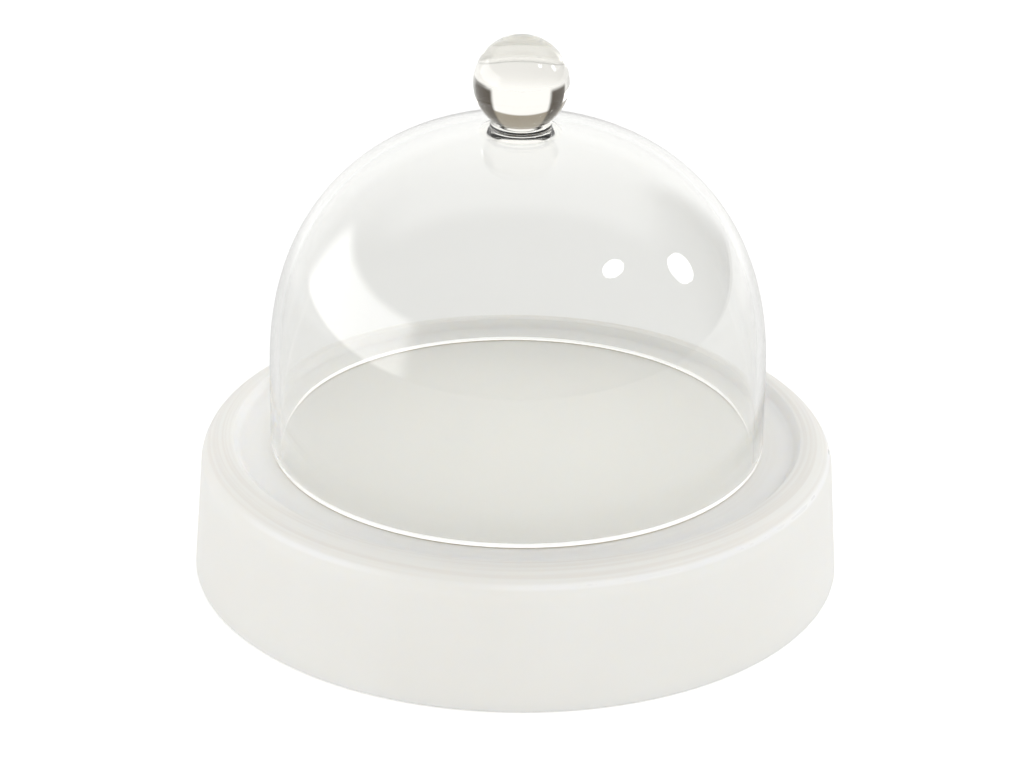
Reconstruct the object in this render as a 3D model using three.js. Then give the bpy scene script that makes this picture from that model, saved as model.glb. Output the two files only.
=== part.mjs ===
// Glass cake dome with a ball knob, standing in the shallow recess of a thick satin glass base.
// Millimetres, +Z up. Origin: centre of the foot ring, on the table plane.
// Every piece is a body of revolution about the Z axis. A profile is a list of [radius, height]
// points that runs round the section with the material on its left.

import * as THREE from 'three';

// ---- base -------------------------------------------------------------------
const FOOT_RADIUS = 100;        // outer radius of the foot ring, the widest point of the base
const FOOT_BEVEL = 0.8;         // small break on the foot's two edges
const WALL_TOP_RADIUS = 97.5;   // outer radius where the side wall meets the shoulder
const BASE_HEIGHT = 43.3;       // top of the rim ring
const SHOULDER_WIDTH = 8.6;     // radial width of the rounded shoulder
const SHOULDER_DROP = 8.6;      // height of the rounded shoulder
const RECESS_RADIUS = 87.8;     // radius of the recess at its top edge
const RECESS_RUN = 2.4;         // radial width of the recess's sloping wall
const RECESS_DEPTH = 2.6;       // rim ring to recess floor
const RECESS_EDGE = 0.7;        // rounding of the recess's top edge
const PLATE_THICKNESS = 10;     // glass between the recess floor and the hollow beneath
const HOLLOW_FOOT_RADIUS = 90;  // mouth of the hollow beneath, at the table plane
const HOLLOW_TOP_RADIUS = 86.5; // hollow where its wall meets the corner fillet
const HOLLOW_FILLET = 7;        // fillet between the hollow's wall and its ceiling

// ---- dome -------------------------------------------------------------------
const DOME_RADIUS = 76;         // outer radius of the straight lower wall
const DOME_WALL = 3;            // glass thickness, the same all over
const DOME_STRAIGHT = 24.3;     // height of the straight wall above the rim
const DOME_CAP_RISE = 77.5;     // rise of the domed top above the straight wall
const DOME_FULLNESS = 2.27;     // 2 is an ellipse; more gives fuller shoulders and a flatter crown

// ---- knob -------------------------------------------------------------------
const FLARE_RADIUS = 12.4;      // foot of the neck, where it is fused to the crown
const COLLAR_RADIUS = 9.1;      // widest part of the neck above the flare
const NECK_TOP_RADIUS = 8.4;    // flat joint between the neck and the ball
const NECK_RISE = 2.8;          // crown of the dome to the flat joint
const BALL_RADIUS = 14.4;

// ---- resolution ---------------------------------------------------------------
const SEGMENTS = 64;
const SHOULDER_STEPS = 6;
const FILLET_STEPS = 4;
const CAP_STEPS = 13;
const RIM_STEPS = 4;
const FLARE_STEPS = 3;
const BALL_STEPS = 13;

const FLOOR_Z = BASE_HEIGHT - RECESS_DEPTH;
const degrees = THREE.MathUtils.degToRad;

const satinGlass = { color: 0xe9e8e4, roughness: 0.55, metalness: 0 };
const clearGlass = { color: 0xf3f5f3, roughness: 0.03, metalness: 0, transparent: true, opacity: 0.3 };

// Points on an ellipse quarter or part of one, both ends included.
function arc(centreR, centreZ, radiusR, radiusZ, fromDeg, toDeg, steps) {
  return Array.from({ length: steps + 1 }, (_, i) => {
    const a = degrees(fromDeg + ((toDeg - fromDeg) * i) / steps);
    return [centreR + radiusR * Math.cos(a), centreZ + radiusZ * Math.sin(a)];
  });
}

function revolved(name, profile, look) {
  const points = profile.map(([r, z]) => new THREE.Vector2(Math.abs(r) < 1e-9 ? 0 : r, z));
  const geometry = new THREE.LatheGeometry(points, SEGMENTS);
  geometry.rotateX(Math.PI / 2);
  const mesh = new THREE.Mesh(geometry, new THREE.MeshStandardMaterial(look));
  mesh.name = name;
  return mesh;
}

// Base: hollow beneath, a foot ring, a slightly flared side, a rounded shoulder and a flat rim
// ring around the recess that locates the dome.
function baseProfile() {
  const ceilingZ = FLOOR_Z - PLATE_THICKNESS;
  const shoulderZ = BASE_HEIGHT - SHOULDER_DROP;
  return [
    [0, ceilingZ],
    ...arc(HOLLOW_TOP_RADIUS - HOLLOW_FILLET, ceilingZ - HOLLOW_FILLET,
      HOLLOW_FILLET, HOLLOW_FILLET, 90, 0, FILLET_STEPS),
    [HOLLOW_FOOT_RADIUS - FOOT_BEVEL, FOOT_BEVEL],
    [HOLLOW_FOOT_RADIUS, 0],
    [FOOT_RADIUS - FOOT_BEVEL, 0],
    [FOOT_RADIUS, FOOT_BEVEL],
    ...arc(WALL_TOP_RADIUS - SHOULDER_WIDTH, shoulderZ, SHOULDER_WIDTH, SHOULDER_DROP, 0, 90,
      SHOULDER_STEPS),
    ...arc(RECESS_RADIUS, BASE_HEIGHT - RECESS_EDGE, RECESS_EDGE, RECESS_EDGE, 90, 140, 2),
    [RECESS_RADIUS - RECESS_RUN, FLOOR_Z],
    [0, FLOOR_Z],
  ];
}

// A superellipse quarter, from the straight wall to the crown. One of its points lies exactly at
// the neck's foot, so that the neck and the dome share one surface there.
function capProfile(radius, rise) {
  const flareDeg = Math.acos((FLARE_RADIUS / DOME_RADIUS) ** (DOME_FULLNESS / 2)) / degrees(1);
  const power = 2 / DOME_FULLNESS;
  const turns = [
    ...Array.from({ length: CAP_STEPS + 1 }, (_, i) => (flareDeg * i) / CAP_STEPS),
    (flareDeg + 90) / 2,
    90,
  ];
  return turns.map((deg) => [
    deg === 90 ? 0 : radius * Math.cos(degrees(deg)) ** power,
    DOME_STRAIGHT + rise * Math.sin(degrees(deg)) ** power,
  ]);
}

// Dome: heights from the rim's lowest line. The rim is fire-polished to a full round.
function domeProfile() {
  const lip = DOME_WALL / 2;
  return [
    ...capProfile(DOME_RADIUS - DOME_WALL, DOME_CAP_RISE - DOME_WALL).reverse(),
    ...arc(DOME_RADIUS - lip, lip, lip, lip, 180, 360, RIM_STEPS),
    ...capProfile(DOME_RADIUS, DOME_CAP_RISE),
  ];
}

// Neck: its underside is the crown's own surface, its side flares out over the crown and rolls in
// to the flat joint under the ball.
function neckProfile() {
  const jointZ = DOME_STRAIGHT + DOME_CAP_RISE + NECK_RISE;
  const crown = capProfile(DOME_RADIUS, DOME_CAP_RISE).slice(-3).reverse();
  const flareZ = crown[2][1];
  const flareRise = 1.3;
  const flareRun = FLARE_RADIUS - COLLAR_RADIUS;
  return [
    ...crown,
    ...arc(FLARE_RADIUS, flareZ + flareRise, flareRun, flareRise, 270, 180, FLARE_STEPS).slice(1),
    [COLLAR_RADIUS, flareZ + flareRise + 0.8],
    [NECK_TOP_RADIUS, jointZ],
    [0, jointZ],
  ];
}

// Ball: a solid sphere with one flat where it is fused to the neck.
function ballProfile() {
  const jointZ = DOME_STRAIGHT + DOME_CAP_RISE + NECK_RISE;
  const centreZ = jointZ + Math.sqrt(BALL_RADIUS ** 2 - NECK_TOP_RADIUS ** 2);
  const jointDeg = -Math.acos(NECK_TOP_RADIUS / BALL_RADIUS) / degrees(1);
  return [
    [0, jointZ],
    ...arc(0, centreZ, BALL_RADIUS, BALL_RADIUS, jointDeg, 90, BALL_STEPS),
  ];
}

const base = revolved('base', baseProfile(), satinGlass);
const shell = revolved('dome_shell', domeProfile(), clearGlass);
const neck = revolved('knob_neck', neckProfile(), clearGlass);
const ball = revolved('ball_knob', ballProfile(), clearGlass);

// The dome lifts off with its knob. Its group stands on the recess floor.
const dome = new THREE.Group();
dome.add(shell, neck, ball);
dome.position.z = FLOOR_Z;

const group = new THREE.Group();
group.add(base, dome);

export default group;
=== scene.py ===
"""Glass cake dome with a ball knob on a thick satin glass base: looks, studio and camera.

The object is four bodies of revolution. Profiles are (radius, height) points in millimetres.
Blender's objects, the shaders and the studio are in metres.
"""

import math

import bmesh
import bpy
from mathutils import Matrix, Vector, noise


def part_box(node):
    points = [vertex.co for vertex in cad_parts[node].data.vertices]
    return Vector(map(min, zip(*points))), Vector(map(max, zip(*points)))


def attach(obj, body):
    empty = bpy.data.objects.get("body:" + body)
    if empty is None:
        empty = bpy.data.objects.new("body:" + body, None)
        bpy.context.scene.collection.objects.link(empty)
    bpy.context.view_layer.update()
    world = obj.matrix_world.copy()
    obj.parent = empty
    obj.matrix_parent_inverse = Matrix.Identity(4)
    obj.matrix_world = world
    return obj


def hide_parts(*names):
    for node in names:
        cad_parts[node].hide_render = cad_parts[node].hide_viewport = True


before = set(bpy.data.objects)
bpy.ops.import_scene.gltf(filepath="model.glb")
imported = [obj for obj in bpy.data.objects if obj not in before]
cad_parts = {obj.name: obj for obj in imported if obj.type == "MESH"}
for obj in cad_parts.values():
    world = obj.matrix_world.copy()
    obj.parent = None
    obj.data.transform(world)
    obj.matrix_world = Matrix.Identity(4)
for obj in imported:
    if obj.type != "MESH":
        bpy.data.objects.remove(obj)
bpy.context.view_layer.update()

MM = 0.001
SEGMENTS = 256      # steps round the axis
SAME_POINT = 1e-6   # millimetres

# ---- object dimensions in millimetres, the same as the CAD model's ---------------
FOOT_RADIUS = 100.0
FOOT_BEVEL = 0.8
WALL_TOP_RADIUS = 97.5
SHOULDER = 8.6
RECESS_RADIUS = 87.8
RECESS_RUN = 2.4
RECESS_EDGE = 0.7
PLATE = 10.0
HOLLOW_FOOT_RADIUS = 90.0
HOLLOW_TOP_RADIUS = 86.5
HOLLOW_FILLET = 7.0
DOME_RADIUS = 76.0
DOME_WALL = 3.0
DOME_STRAIGHT = 24.3
DOME_CAP_RISE = 77.5
DOME_FULLNESS = 2.27
FLARE_RADIUS = 12.4
FLARE_RISE = 1.3
COLLAR_RADIUS = 9.1
NECK_TOP_RADIUS = 8.4
NECK_RISE = 2.8
BALL_RADIUS = 14.4

BASE_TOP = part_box("base")[1].z / MM
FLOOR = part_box("dome_shell")[0].z / MM   # the recess floor, where the dome stands
CROWN = FLOOR + DOME_STRAIGHT + DOME_CAP_RISE
JOINT = CROWN + NECK_RISE

# ---- details that only the visual model has, in millimetres ----------------------
RECESS_CORNER = (0.5, 0.35), (0.12, 0.08), (-0.45, 0.0)   # soft corner, from the sharp one
PRESSING_DRIFT = 0.06                                     # how far the base's skin wanders
DRIFT_SCALE = 0.022                                       # wanders per millimetre
NECK_BULGE = 0.35
RIM_GLOW_BANDS = (198, 224), (316, 339)   # bands of painted glow on the round rim, degrees of its section

# ---- camera: the photograph's ----------------------------------------------------
CAMERA_DISTANCE = 1.100
CAMERA_ELEVATION = math.radians(24.7)
CAMERA_ROLL = math.radians(0.69)
CAMERA_TARGET = Vector((-0.0017, 0.0, 0.0587))
LENS, SENSOR = 125.8, 36.0           # millimetres
CLIP = 0.01, 50.0

# ---- satin glass -----------------------------------------------------------------
CLOUDS = (
    (0.30, (0.865, 0.855, 0.825, 1)),
    (0.52, (0.885, 0.878, 0.850, 1)),
    (0.72, (0.900, 0.896, 0.872, 1)),
)
STREAK = (0.842, 0.822, 0.790)       # turning marks
UNDER_DOME_SHADE = (0.862, 0.857, 0.820)       # painted shade: the recess floor under the dome, darker
ANNULUS_LIGHT = (0.955, 0.950, 0.925)      # painted light: the recess floor outside the dome's rim, lighter
CONTACT_SHADOW = (0.80, 0.775, 0.725)       # painted contact shadow: a darker line where the rim stands
SHOULDER_HIGHLIGHT = (0.985, 0.985, 0.975)     # painted highlight: a lighter line along the shoulder
# Soft edges: (where the look is absent, where it is complete), in metres.
TOP_HEIGHT = 0.0395, 0.0405
TOP_RADIUS = 0.072, 0.086
UNDER_DOME_SHADE_RADIUS = 0.076, 0.070
UNDER_DOME_SHADE_HEIGHT = 0.036, 0.038
ANNULUS_LIGHT_IN, ANNULUS_LIGHT_OUT = (0.074, 0.077), (0.0885, 0.0865)
CONTACT_SHADOW_IN, CONTACT_SHADOW_OUT = (0.0734, 0.0740), (0.0758, 0.0752)
SHOULDER_HIGHLIGHT_LOW, SHOULDER_HIGHLIGHT_HIGH = (0.0378, 0.0388), (0.0402, 0.0392)
SHOULDER_HIGHLIGHT_RADIUS = 0.092, 0.094

# ---- studio ----------------------------------------------------------------------
# Colours by where they are seen from. "In glass" is what the camera sees in or through polished
# glass; the others are what lights the object.
ROOM = (0.58, 0.58, 0.57)
ROOM_HIGH = (0.56, 0.56, 0.55)
ROOM_HIGH_IN_GLASS = (0.42, 0.42, 0.41)
CARD = (1.08, 1.08, 1.06)
CARD_IN_GLASS = (0.66, 0.66, 0.65)
CEILING = (0.80, 0.80, 0.79)
CEILING_IN_GLASS = (1.08, 1.08, 1.07)
SWEEP = (1.08, 1.08, 1.07)
WINDOW_LIGHT = (1.7, 1.7, 1.7)
WINDOW = (2.85, 2.85, 2.85)
SHADE = (0.35, 0.35, 0.34)           # right of the sweep, seen in glass
GAP = (0.36, 0.32, 0.26)             # above the sweep, seen through the ball and neck
FLAG = (0.07, 0.055, 0.038)          # beside the sweep, seen through the ball and neck
BACKDROP = (0.97, 0.97, 0.965)       # seen by the camera
# Sectors are (azimuth, half width, softness) in degrees: 0 is the camera's side, 90 is +X.
WINDOW_SECTOR = -90, 35, 6
SHADE_SECTOR = 122, 20, 8
FLAG_SECTORS = (134, 18, 3), (-139, 13, 3)
# Soft edges: (where it is absent, where it is complete), in parts of the unit direction.
ROOM_RISE = 0.0, 0.55
CARD_SPREAD = 0.25, 0.85             # cosine of the angle off the camera's side
CARD_TOP = 0.95, 0.35
CARD_TOP_IN_GLASS = 0.40, 0.10
SWEEP_BACK = 0.15, 0.70
CEILING_RISE, CEILING_BACK = (0.50, 0.80), (0.05, 0.30)
WINDOW_TOP, WINDOW_SILL = (0.44, 0.35), (-0.02, 0.02)
SHADE_TOP = 0.70, 0.45
GAP_FOOT = 0.17, 0.22
FLAG_FOOT = -0.24, -0.14

FLOOR_HALF_SIZE = 6.0
FLOOR_DROP = 0.0002                  # keeps the floor clear of the foot ring's own face
FLOOR_TONES = 0.83, 0.85             # as it lights the object and shows in glass
FLOOR_TONES_DIRECT = 0.93, 0.95      # as the camera sees it
FLOOR_GLOW, FLOOR_GLOW_DIRECT = 0.17, 0.36
BACK_GLOW, BACK_EDGE = 0.22, (0.25, 0.62)
FRONT_GLOW, FRONT_EDGE = 0.40, (-0.25, -0.80)
TABLE_EDGE, TABLE_SOFTNESS = 0.66, 0.08

LAMP_AIM = 0, 0, 0.1
# name, place, size, watts
LAMPS = (
    ("lamp_front", (0.72, -0.29, 0.94), (0.20, 0.15), 0.85),
    ("lamp_side", (1.02, 0.20, 0.57), (0.20, 0.25), 1.2),
)


# ---- camera ------------------------------------------------------------------------
def make_camera():
    data = bpy.data.cameras.new("camera")
    data.lens, data.sensor_width = LENS, SENSOR
    data.clip_start, data.clip_end = CLIP
    cam = bpy.data.objects.new("camera", data)
    bpy.context.scene.collection.objects.link(cam)
    back = Vector((0, -math.cos(CAMERA_ELEVATION), math.sin(CAMERA_ELEVATION)))
    cam.location = CAMERA_TARGET + back * CAMERA_DISTANCE
    tilt = Matrix.Rotation(math.pi / 2 - CAMERA_ELEVATION, 3, "X")
    cam.rotation_euler = (tilt @ Matrix.Rotation(CAMERA_ROLL, 3, "Z")).to_euler()
    bpy.context.scene.camera = cam


# ---- mesh tools --------------------------------------------------------------------
def arc(cr, cz, rr, rz, start, end, steps):
    """Points on part of an ellipse, in the (radius, height) plane, both ends included."""
    out = []
    for i in range(steps + 1):
        a = math.radians(start + (end - start) * i / steps)
        out.append((cr + rr * math.cos(a), cz + rz * math.sin(a)))
    return out


def line(a, b, steps):
    """Evenly spaced points from a to b, both ends left out."""
    return [
        (a[0] + (b[0] - a[0]) * i / steps, a[1] + (b[1] - a[1]) * i / steps)
        for i in range(1, steps)
    ]


def joined(runs):
    """One list of points, without repeats, and the material index of each stretch between."""
    points, kinds = [], []
    for run, kind in runs:
        for p in run:
            if points and math.dist(points[-1], p) < SAME_POINT:
                continue
            if points:
                kinds.append(kind)
            points.append(p)
    return points, kinds


def revolve(name, runs, materials, body, nodes, wobble=None):
    """A closed body of revolution. runs is a list of (points, material index): consecutive
    stretches of one profile that starts and ends on the axis. The edge between two stretches
    with different materials is sharp."""
    points, kinds = joined(runs)
    bm = bmesh.new()
    rings = []
    for r, z in points:
        if r < SAME_POINT:
            rings.append([bm.verts.new((0, 0, z * MM))])
            continue
        ring = []
        for i in range(SEGMENTS):
            a = 2 * math.pi * i / SEGMENTS
            p = Vector((r * math.cos(a), r * math.sin(a), z))
            ring.append(bm.verts.new((wobble(p) if wobble else p) * MM))
        rings.append(ring)
    for j, kind in enumerate(kinds):
        low, high = rings[j], rings[j + 1]
        for i in range(SEGMENTS):
            k = (i + 1) % SEGMENTS
            if len(low) == 1:
                face = bm.faces.new((low[0], high[k], high[i]))
            elif len(high) == 1:
                face = bm.faces.new((low[i], low[k], high[0]))
            else:
                face = bm.faces.new((low[i], low[k], high[k], high[i]))
            face.material_index = kind
            face.smooth = True
    bm.normal_update()
    for edge in bm.edges:
        faces = edge.link_faces
        if len(faces) == 2 and faces[0].material_index != faces[1].material_index:
            edge.smooth = False
    mesh = bpy.data.meshes.new(name)
    bm.to_mesh(mesh)
    bm.free()
    obj = bpy.data.objects.new(name, mesh)
    bpy.context.scene.collection.objects.link(obj)
    for m in materials:
        mesh.materials.append(m)
    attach(obj, body)
    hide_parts(*nodes)
    return obj


# ---- node tools --------------------------------------------------------------------
def new_material(name):
    mat = bpy.data.materials.new(name)
    mat.use_nodes = True
    nt = mat.node_tree
    nt.nodes.clear()
    out = nt.nodes.new("ShaderNodeOutputMaterial")
    return mat, nt, out


def settle(node, values):
    """Set a node's input constants by name."""
    for socket, value in values.items():
        node.inputs[socket].default_value = value
    return node


def object_coordinates(nt):
    return nt.nodes.new("ShaderNodeTexCoord").outputs["Object"]


def noise_node(nt, scale, detail, roughness):
    tex = settle(
        nt.nodes.new("ShaderNodeTexNoise"),
        {"Scale": scale, "Detail": detail, "Roughness": roughness},
    )
    nt.links.new(object_coordinates(nt), tex.inputs["Vector"])
    return tex.outputs["Fac"]


def ramp_node(nt, source, stops):
    ramp = nt.nodes.new("ShaderNodeValToRGB")
    ramp.color_ramp.elements[0].position, ramp.color_ramp.elements[0].color = stops[0]
    ramp.color_ramp.elements[1].position, ramp.color_ramp.elements[1].color = stops[-1]
    for position, colour in stops[1:-1]:
        ramp.color_ramp.elements.new(position).color = colour
    nt.links.new(source, ramp.inputs["Fac"])
    return ramp.outputs["Color"]


def range_node(nt, source, low, high):
    """A noise's usual spread, 0.3 to 0.7, mapped to low and high."""
    node = settle(
        nt.nodes.new("ShaderNodeMapRange"),
        {"From Min": 0.3, "From Max": 0.7, "To Min": low, "To Max": high},
    )
    nt.links.new(source, node.inputs["Value"])
    return node.outputs["Result"]


def maths(nt, operation, a, b=None):
    node = nt.nodes.new("ShaderNodeMath")
    node.operation = operation
    for socket, value in zip(node.inputs, (a, b)):
        if isinstance(value, (int, float)):
            socket.default_value = value
        elif value is not None:
            nt.links.new(value, socket)
    return node.outputs[0]


def product(nt, first, *others):
    for other in others:
        first = maths(nt, "MULTIPLY", first, other)
    return first


def step_node(nt, source, absent, complete):
    """0 up to absent, 1 from complete on, smooth between. Either may be the larger."""
    rising = absent < complete
    node = nt.nodes.new("ShaderNodeMapRange")
    node.interpolation_type = "SMOOTHSTEP"
    node.clamp = True
    settle(node, {
        "From Min": min(absent, complete),
        "From Max": max(absent, complete),
        "To Min": 0.0 if rising else 1.0,
        "To Max": 1.0 if rising else 0.0,
    })
    nt.links.new(source, node.inputs["Value"])
    return node.outputs["Result"]


def band(nt, source, first, second):
    """1 between two soft edges."""
    return product(nt, step_node(nt, source, *first), step_node(nt, source, *second))


def mix_colour(nt, factor, a, b):
    node = nt.nodes.new("ShaderNodeMix")
    node.data_type = "RGBA"
    nt.links.new(factor, node.inputs["Factor"])
    for socket, value in ((node.inputs[6], a), (node.inputs[7], b)):
        if isinstance(value, tuple):
            socket.default_value = (*value, 1)
        else:
            nt.links.new(value, socket)
    return node.outputs[2]


def mix_shader(nt, factor, a, b):
    node = nt.nodes.new("ShaderNodeMixShader")
    nt.links.new(factor, node.inputs["Fac"])
    nt.links.new(a, node.inputs[1])
    nt.links.new(b, node.inputs[2])
    return node.outputs[0]


def bump_node(nt, height, strength, distance, under=None):
    node = settle(nt.nodes.new("ShaderNodeBump"), {"Strength": strength, "Distance": distance})
    nt.links.new(height, node.inputs["Height"])
    if under is not None:
        nt.links.new(under, node.inputs["Normal"])
    return node.outputs["Normal"]


# ---- materials ---------------------------------------------------------------------
def turning_marks(nt, x, y, radius):
    """Noise stretched round the axis: fine across the radius, slow along the circle."""
    place = nt.nodes.new("ShaderNodeCombineXYZ")
    fine, slow = 950.0, 9.0
    for socket, value, scale in zip(place.inputs, (radius, x, y), (fine, slow, slow)):
        nt.links.new(product(nt, value, scale), socket)
    marks = settle(nt.nodes.new("ShaderNodeTexNoise"), {"Scale": 1.0, "Detail": 2.0})
    nt.links.new(place.outputs[0], marks.inputs["Vector"])
    return step_node(nt, marks.outputs["Fac"], 0.40, 0.66)


def satin_glass():
    """Acid-etched milky glass: soft sheen, light carried a few millimetres under the surface,
    faint cloudiness, the fine tooth of the etching and turning marks round the top. Painted into
    the colour: shade on the recess floor under the dome, light on it outside the dome's rim, a
    contact shadow where the rim stands, and a highlight in patches along the shoulder, which is
    also a little smoother there."""
    mat, nt, out = new_material("satin_glass")
    p = settle(nt.nodes.new("ShaderNodeBsdfPrincipled"), {
        "IOR": 1.5,
        "Subsurface Weight": 0.8,
        "Subsurface Radius": (1.0, 0.93, 0.82),
        "Subsurface Scale": 0.006,
    })
    split = nt.nodes.new("ShaderNodeSeparateXYZ")
    nt.links.new(object_coordinates(nt), split.inputs[0])
    x, y, z = (split.outputs[axis] for axis in "XYZ")
    radius = maths(nt, "SQRT", maths(nt, "ADD", product(nt, x, x), product(nt, y, y)))
    colour = ramp_node(nt, noise_node(nt, 14.0, 4.0, 0.55), CLOUDS)

    top = step_node(nt, z, *TOP_HEIGHT)
    flat_top = product(nt, top, step_node(nt, radius, *TOP_RADIUS))
    streaks = product(nt, flat_top, turning_marks(nt, x, y, radius))
    colour = mix_colour(nt, streaks, colour, STREAK)
    # Painted shade: the recess floor under the dome is darker.
    inside = product(
        nt, step_node(nt, radius, *UNDER_DOME_SHADE_RADIUS), step_node(nt, z, *UNDER_DOME_SHADE_HEIGHT)
    )
    colour = mix_colour(nt, inside, colour, UNDER_DOME_SHADE)
    # Painted light: the recess floor just outside the dome's rim is lighter.
    annulus_light = product(nt, band(nt, radius, ANNULUS_LIGHT_IN, ANNULUS_LIGHT_OUT), flat_top)
    colour = mix_colour(nt, annulus_light, colour, ANNULUS_LIGHT)
    # Painted contact shadow: a darker line where the dome's rim stands.
    contact_shadow = product(nt, band(nt, radius, CONTACT_SHADOW_IN, CONTACT_SHADOW_OUT), top)
    colour = mix_colour(nt, contact_shadow, colour, CONTACT_SHADOW)
    # Painted highlight, in patches: a lighter line along the shoulder, where the roughness is
    # also lower.
    highlight_patches = step_node(nt, noise_node(nt, 9.0, 2.0, 0.5), 0.38, 0.60)
    polish_and_highlight = product(
        nt,
        band(nt, z, SHOULDER_HIGHLIGHT_LOW, SHOULDER_HIGHLIGHT_HIGH),
        highlight_patches,
        step_node(nt, radius, *SHOULDER_HIGHLIGHT_RADIUS),
    )
    colour = mix_colour(nt, polish_and_highlight, colour, SHOULDER_HIGHLIGHT)
    nt.links.new(colour, p.inputs["Base Color"])

    rough = range_node(nt, noise_node(nt, 55.0, 3.0, 0.6), 0.40, 0.50)
    smooth = maths(nt, "SUBTRACT", rough, product(nt, polish_and_highlight, 0.18))
    nt.links.new(smooth, p.inputs["Roughness"])
    swell = bump_node(nt, noise_node(nt, 38.0, 2.0, 0.5), 0.35, 0.00025)
    tooth = bump_node(nt, noise_node(nt, 3200.0, 2.0, 0.6), 0.12, 0.00008, under=swell)
    nt.links.new(tooth, p.inputs["Normal"])
    nt.links.new(p.outputs[0], out.inputs["Surface"])
    return mat


def clear_glass(name, tint, ripple, shadow):
    """Polished soda-lime glass. Rays to the lamps go straight through, a little weakened."""
    mat, nt, out = new_material(name)
    p = settle(
        nt.nodes.new("ShaderNodeBsdfPrincipled"),
        {"Transmission Weight": 1.0, "Roughness": 0.0, "IOR": 1.5},
    )
    faint = 0.992
    stops = (0.30, (*[c * faint for c in tint], 1)), (0.70, (*tint, 1))
    nt.links.new(ramp_node(nt, noise_node(nt, 9.0, 2.0, 0.5), stops), p.inputs["Base Color"])
    waves = bump_node(nt, noise_node(nt, 26.0, 1.0, 0.4), ripple, 0.0002)
    nt.links.new(waves, p.inputs["Normal"])
    clear = settle(
        nt.nodes.new("ShaderNodeBsdfTransparent"), {"Color": (shadow, shadow, shadow, 1)}
    )
    path = nt.nodes.new("ShaderNodeLightPath")
    shader = mix_shader(nt, path.outputs["Is Shadow Ray"], p.outputs[0], clear.outputs[0])
    nt.links.new(shader, out.inputs["Surface"])
    return mat


def rim_glow_glass():
    """Bands on the dome's rim with a painted glow: emission that stands in for light running
    down the wall.
    """
    mat, nt, out = new_material("rim_glow_glass")
    p = settle(nt.nodes.new("ShaderNodeBsdfPrincipled"), {
        "Transmission Weight": 0.12,
        "Roughness": 0.3,
        "IOR": 1.5,
        # Painted glow: the rim's bands emit light, though they are no lamp.
        "Emission Color": (1.0, 1.0, 0.985, 1),
        "Emission Strength": 0.50,
    })
    stops = (0.3, (0.93, 0.93, 0.92, 1)), (0.7, (0.99, 0.99, 0.985, 1))
    nt.links.new(ramp_node(nt, noise_node(nt, 900.0, 2.0, 0.6), stops), p.inputs["Base Color"])
    nt.links.new(p.outputs[0], out.inputs["Surface"])
    return mat


def fused_joint():
    """The face where two pieces were fused hot: no surface is left, so light isn't bent."""
    mat, nt, out = new_material("fused_joint")
    clear = nt.nodes.new("ShaderNodeBsdfTransparent")
    nt.links.new(clear.outputs[0], out.inputs["Surface"])
    return mat


# ---- base --------------------------------------------------------------------------
def base_runs():
    """From the hollow's ceiling down to the foot ring, up the side, over the shoulder and the
    rim ring, down into the recess and along its floor to the axis."""
    ceiling = FLOOR - PLATE
    inner = HOLLOW_TOP_RADIUS - HOLLOW_FILLET
    shoulder = BASE_TOP - SHOULDER
    bevel = FOOT_BEVEL
    points = [(0, ceiling)] + line((0, ceiling), (inner, ceiling), steps=12)
    points += arc(
        inner, ceiling - HOLLOW_FILLET, HOLLOW_FILLET, HOLLOW_FILLET, start=90, end=4, steps=14
    )
    points += line(points[-1], (HOLLOW_FOOT_RADIUS - bevel, bevel), steps=8)
    points += arc(HOLLOW_FOOT_RADIUS, bevel, bevel, bevel, start=184, end=270, steps=6)
    points += line(points[-1], (FOOT_RADIUS - bevel, 0), steps=4)
    points += arc(FOOT_RADIUS - bevel, bevel, bevel, bevel, start=-90, end=4, steps=8)
    points += line(points[-1], (WALL_TOP_RADIUS, shoulder), steps=12)
    points += arc(
        WALL_TOP_RADIUS - SHOULDER, shoulder, SHOULDER, SHOULDER, start=0, end=90, steps=28
    )
    points += arc(
        RECESS_RADIUS, BASE_TOP - RECESS_EDGE, RECESS_EDGE, RECESS_EDGE,
        start=90, end=136, steps=6,
    )
    corner = [(RECESS_RADIUS - RECESS_RUN + dr, FLOOR + dz) for dr, dz in RECESS_CORNER]
    points += line(points[-1], corner[0], steps=5) + corner
    points += line(corner[-1], (0, FLOOR), steps=16) + [(0, FLOOR)]
    return [(points, 0)]


def base_wobble(p):
    """Pressed glass is never dead true: a few hundredths of a millimetre of drift, everywhere
    but on the foot ring and the recess floor."""
    if p.z < 1.0 or abs(p.z - FLOOR) < 0.3:
        return p
    drift = PRESSING_DRIFT * noise.noise(Vector((p.x, p.y, p.z)) * DRIFT_SCALE)
    radial = Vector((p.x, p.y, 0)).normalized()
    return p - radial * abs(drift)


# ---- dome and knob -----------------------------------------------------------------
def cap(radius, rise, low, high, steps):
    """Points on the domed top, a superellipse, from angle low to angle high in degrees: 0 is
    where the straight wall ends and 90 the crown."""
    power = 2 / DOME_FULLNESS
    out = []
    for i in range(steps + 1):
        a = math.radians(low + (high - low) * i / steps)
        r = radius * max(math.cos(a), 0.0) ** power
        out.append((0.0 if high == 90 and i == steps else r,
                    FLOOR + DOME_STRAIGHT + rise * math.sin(a) ** power))
    return out


def fused_cap():
    """The middle of the crown, shared by the dome and the neck, from the flare inwards."""
    return cap(DOME_RADIUS, DOME_CAP_RISE, FLARE_ANGLE, 90, steps=8)


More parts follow.
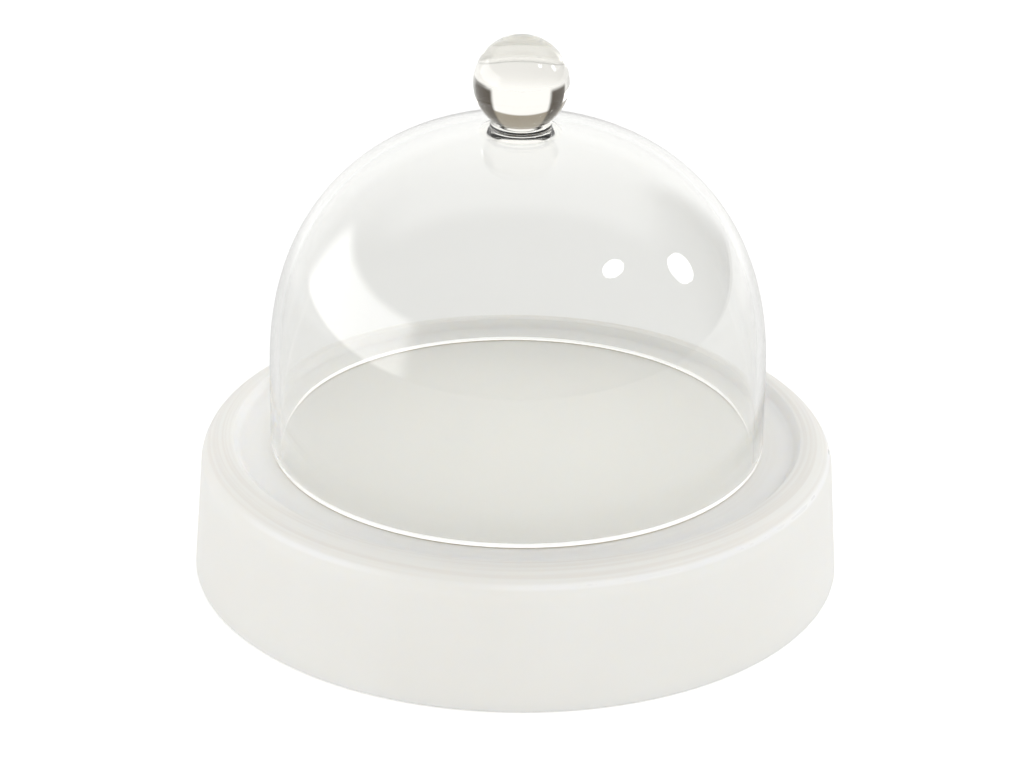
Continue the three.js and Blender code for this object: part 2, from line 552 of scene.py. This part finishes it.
def dome_runs():
    """Inside of the dome from the crown down, round the rim, and up the outside."""
    inner_r, inner_rise = DOME_RADIUS - DOME_WALL, DOME_CAP_RISE - DOME_WALL
    lip = DOME_WALL / 2
    (inner_low, inner_high), (outer_low, outer_high) = RIM_GLOW_BANDS

    def round_rim(start, end, steps):
        return arc(DOME_RADIUS - lip, FLOOR + lip, lip, lip, start, end, steps)

    inside = cap(inner_r, inner_rise, 0, 90, steps=72)[::-1]
    inside += line(inside[-1], (inner_r, FLOOR + lip), steps=10)
    inside += round_rim(180, inner_low, steps=4)
    outside = round_rim(outer_high, 360, steps=4)
    outside += line(outside[-1], (DOME_RADIUS, FLOOR + DOME_STRAIGHT), steps=10)
    outside += cap(DOME_RADIUS, DOME_CAP_RISE, 0, FLARE_ANGLE, steps=72)
    # On the rim: two bands of painted glow, and painted shade on the underside between them.
    return [
        (inside, 0),
        (round_rim(inner_low, inner_high, steps=4), 2),
        (round_rim(inner_high, outer_low, steps=6), 3),
        (round_rim(outer_low, outer_high, steps=4), 2),
        (outside, 0),
        (fused_cap(), 1),
    ]


def neck_runs():
    """The crown's own surface, a flare that leaves it, and a slight bulge up to the ball."""
    fused = fused_cap()[::-1]
    flare_z = fused[-1][1] + FLARE_RISE
    side = arc(
        FLARE_RADIUS, flare_z, FLARE_RADIUS - COLLAR_RADIUS, FLARE_RISE,
        start=268, end=180, steps=14,
    )
    bulge = []
    bulge_steps = 14
    for i in range(1, bulge_steps + 1):
        t = i / bulge_steps
        taper = (NECK_TOP_RADIUS - COLLAR_RADIUS) * t * t
        r = COLLAR_RADIUS + taper + NECK_BULGE * math.sin(math.pi * t)
        bulge.append((r, flare_z + (JOINT - flare_z) * t))
    top = [(NECK_TOP_RADIUS * (1 - i / 4), JOINT) for i in range(5)]
    return [(fused, 1), (side + bulge, 0), (top, 1)]


def ball_runs():
    """A sphere with one flat, where it is fused to the neck."""
    centre = JOINT + math.sqrt(BALL_RADIUS**2 - NECK_TOP_RADIUS**2)
    start = -math.degrees(math.acos(NECK_TOP_RADIUS / BALL_RADIUS))
    flat = [(NECK_TOP_RADIUS * i / 4, JOINT) for i in range(5)]
    skin = arc(0, centre, BALL_RADIUS, BALL_RADIUS, start, end=90, steps=90)
    skin[-1] = (0.0, skin[-1][1])
    return [(flat, 1), (skin, 0)]


# ---- studio ------------------------------------------------------------------------
def area_light(name, at, size, power):
    data = bpy.data.lights.new(name, "AREA")
    data.shape = "ELLIPSE"
    data.size, data.size_y = size
    data.energy = power
    light = bpy.data.objects.new(name, data)
    light.location = at
    light.rotation_euler = (Vector(LAMP_AIM) - Vector(at)).to_track_quat("-Z", "Y").to_euler()
    bpy.context.scene.collection.objects.link(light)


def facing(nt, vector, azimuth):
    """Cosine of the horizontal angle to an azimuth: 0 is the camera's side, 90 is +X."""
    flat = nt.nodes.new("ShaderNodeVectorMath")
    flat.operation = "MULTIPLY"
    flat.inputs[1].default_value = (1, 1, 0)
    nt.links.new(vector, flat.inputs[0])
    unit = nt.nodes.new("ShaderNodeVectorMath")
    unit.operation = "NORMALIZE"
    nt.links.new(flat.outputs[0], unit.inputs[0])
    dot = nt.nodes.new("ShaderNodeVectorMath")
    dot.operation = "DOT_PRODUCT"
    a = math.radians(azimuth)
    dot.inputs[1].default_value = (math.sin(a), -math.cos(a), 0)
    nt.links.new(unit.outputs[0], dot.inputs[0])
    return dot.outputs["Value"]


def sector(nt, vector, azimuth, half_width, soft):
    """1 within half_width of an azimuth, with an edge soft degrees wide on either side."""
    inner = math.cos(math.radians(half_width - soft))
    outer = math.cos(math.radians(half_width + soft))
    return step_node(nt, facing(nt, vector, azimuth), outer, inner)


def seen_in_glass(nt, path):
    """1 for what the camera sees in or through polished glass, 0 for what lights the object."""
    direct = maths(nt, "LESS_THAN", path.outputs["Diffuse Depth"], 0.5)
    return product(nt, path.outputs["Is Singular Ray"], direct)


def through_solid_glass(nt, path):
    """1 for what the camera sees straight through the ball or the neck: two refractions and no
    mirror bounce. Rays through the dome's two walls make four."""
    fac = product(nt, seen_in_glass(nt, path), path.outputs["Is Transmission Ray"])
    for depth, most in (("Glossy Depth", 0.5), ("Transmission Depth", 2.5)):
        fac = product(nt, fac, maths(nt, "LESS_THAN", path.outputs[depth], most))
    return fac


def opposite(nt, value):
    return maths(nt, "SUBTRACT", 1.0, value)


def floor_look(nt, grain, tones):
    """A matt, pale shader, and the socket that sets its glow."""
    p = settle(nt.nodes.new("ShaderNodeBsdfPrincipled"), {
        "Roughness": 0.9,
        "Specular IOR Level": 0.1,
        "Emission Color": (1.0, 1.0, 0.99, 1),
    })
    low, high = tones
    stops = (0.3, (low, low, low, 1)), (0.7, (high, high, high, 1))
    nt.links.new(ramp_node(nt, grain, stops), p.inputs["Base Color"])
    return p.outputs[0], p.inputs["Emission Strength"]


def make_floor():
    """A pale floor. Looked at directly it is nearly white; what it lends the glass is softer,
    and brighter towards the sweep. Solid glass sees it only out to the table's edge."""
    bm = bmesh.new()
    bmesh.ops.create_grid(bm, x_segments=8, y_segments=8, size=FLOOR_HALF_SIZE)
    mesh = bpy.data.meshes.new("studio_floor")
    bm.to_mesh(mesh)
    bm.free()
    floor = bpy.data.objects.new("studio_floor", mesh)
    floor.location.z = -FLOOR_DROP
    bpy.context.scene.collection.objects.link(floor)

    mat, nt, out = new_material("studio_floor")
    place = object_coordinates(nt)
    split = nt.nodes.new("ShaderNodeSeparateXYZ")
    nt.links.new(place, split.inputs[0])
    away = nt.nodes.new("ShaderNodeVectorMath")
    away.operation = "LENGTH"
    nt.links.new(place, away.inputs[0])
    grain = noise_node(nt, 3.0, 2.0, 0.5)
    path = nt.nodes.new("ShaderNodeLightPath")

    indirect, glow = floor_look(nt, grain, FLOOR_TONES)
    back = product(nt, step_node(nt, split.outputs["Y"], *BACK_EDGE), BACK_GLOW)
    front = product(
        nt,
        step_node(nt, split.outputs["Y"], *FRONT_EDGE),
        FRONT_GLOW,
        opposite(nt, seen_in_glass(nt, path)),
    )
    nt.links.new(maths(nt, "ADD", maths(nt, "ADD", back, front), FLOOR_GLOW), glow)
    direct, glow = floor_look(nt, grain, FLOOR_TONES_DIRECT)
    glow.default_value = FLOOR_GLOW_DIRECT

    clear = nt.nodes.new("ShaderNodeBsdfTransparent")
    beyond = step_node(
        nt, away.outputs["Value"], TABLE_EDGE - TABLE_SOFTNESS, TABLE_EDGE + TABLE_SOFTNESS
    )
    gone = product(nt, beyond, through_solid_glass(nt, path))
    shader = mix_shader(nt, path.outputs["Is Camera Ray"], indirect, direct)
    shader = mix_shader(nt, gone, shader, clear.outputs[0])
    nt.links.new(shader, out.inputs["Surface"])
    mesh.materials.append(mat)


def make_world():
    """A white sweep behind with a bright ceiling over it, a window on the left, and a plain room
    on the camera's side with a pale card in front of the object. Seen only through solid glass,
    a dark gap above the sweep and two dark flags beside it draw the dark edges. The camera sees
    plain white."""
    world = bpy.data.worlds.new("studio")
    bpy.context.scene.world = world
    world.use_nodes = True
    nt = world.node_tree
    nt.nodes.clear()
    out = nt.nodes.new("ShaderNodeOutputWorld")
    vector = nt.nodes.new("ShaderNodeTexCoord").outputs["Generated"]
    split = nt.nodes.new("ShaderNodeSeparateXYZ")
    nt.links.new(vector, split.inputs[0])
    y, z = split.outputs["Y"], split.outputs["Z"]
    path = nt.nodes.new("ShaderNodeLightPath")
    in_glass = seen_in_glass(nt, path)
    solid = through_solid_glass(nt, path)

    high = mix_colour(nt, in_glass, ROOM_HIGH, ROOM_HIGH_IN_GLASS)
    colour = mix_colour(nt, step_node(nt, z, *ROOM_RISE), ROOM, high)
    low_in_glass = maths(
        nt, "MAXIMUM", step_node(nt, z, *CARD_TOP_IN_GLASS), opposite(nt, in_glass)
    )
    card = product(
        nt,
        step_node(nt, facing(nt, vector, 0), *CARD_SPREAD),
        step_node(nt, z, *CARD_TOP),
        low_in_glass,
    )
    colour = mix_colour(nt, card, colour, mix_colour(nt, in_glass, CARD, CARD_IN_GLASS))
    colour = mix_colour(nt, step_node(nt, y, *SWEEP_BACK), colour, SWEEP)
    ceiling = product(nt, step_node(nt, z, *CEILING_RISE), step_node(nt, y, *CEILING_BACK))
    colour = mix_colour(nt, ceiling, colour, mix_colour(nt, in_glass, CEILING, CEILING_IN_GLASS))
    window = product(
        nt, sector(nt, vector, *WINDOW_SECTOR), band(nt, z, WINDOW_TOP, WINDOW_SILL)
    )
    colour = mix_colour(nt, window, colour, mix_colour(nt, in_glass, WINDOW_LIGHT, WINDOW))
    shade = product(
        nt, sector(nt, vector, *SHADE_SECTOR), step_node(nt, z, *SHADE_TOP), in_glass
    )
    colour = mix_colour(nt, shade, colour, SHADE)
    colour = mix_colour(nt, product(nt, step_node(nt, z, *GAP_FOOT), solid), colour, GAP)
    for flag_sector in FLAG_SECTORS:
        flag = product(
            nt, sector(nt, vector, *flag_sector), step_node(nt, z, *FLAG_FOOT), solid
        )
        colour = mix_colour(nt, flag, colour, FLAG)
    colour = mix_colour(nt, path.outputs["Is Camera Ray"], colour, BACKDROP)
    sky = settle(nt.nodes.new("ShaderNodeBackground"), {"Strength": 1.0})
    nt.links.new(colour, sky.inputs["Color"])
    nt.links.new(sky.outputs[0], out.inputs["Surface"])


# ---- the object --------------------------------------------------------------------
make_camera()

SATIN = satin_glass()
BLOWN = clear_glass("blown_glass", tint=(0.970, 0.971, 0.962), ripple=0.05, shadow=0.95)
# Painted glow on the rim's bands.
RIM_GLOW = rim_glow_glass()
# Painted shade: dark brown glass on the rim's underside, between the glowing bands.
UNDERSIDE_SHADE = clear_glass("rim_underside_shade", tint=(0.22, 0.18, 0.13), ripple=0.02, shadow=0.90)
SOLID = clear_glass("solid_glass", tint=(0.980, 0.964, 0.920), ripple=0.02, shadow=0.88)
JOINT_FACE = fused_joint()

# Where the flare begins on the cap, in the cap's own degrees.
FLARE_ANGLE = math.degrees(math.acos((FLARE_RADIUS / DOME_RADIUS) ** (DOME_FULLNESS / 2)))

revolve("base_glass", base_runs(), [SATIN], "base", ["base"], base_wobble)
revolve(
    "dome_glass", dome_runs(), [BLOWN, JOINT_FACE, RIM_GLOW, UNDERSIDE_SHADE],
    "dome", ["dome_shell"],
)
revolve(
    "neck_glass", neck_runs(), [SOLID, JOINT_FACE], "dome", ["knob_neck"]
)
revolve(
    "ball_glass", ball_runs(), [SOLID, JOINT_FACE], "dome", ["ball_knob"]
)

# ---- studio and output -------------------------------------------------------------
make_floor()
make_world()
for lamp in LAMPS:
    area_light(*lamp)

view = bpy.context.scene.view_settings
view.view_transform = "Standard"
view.look = "None"
view.exposure = 0.0
view.gamma = 1.0
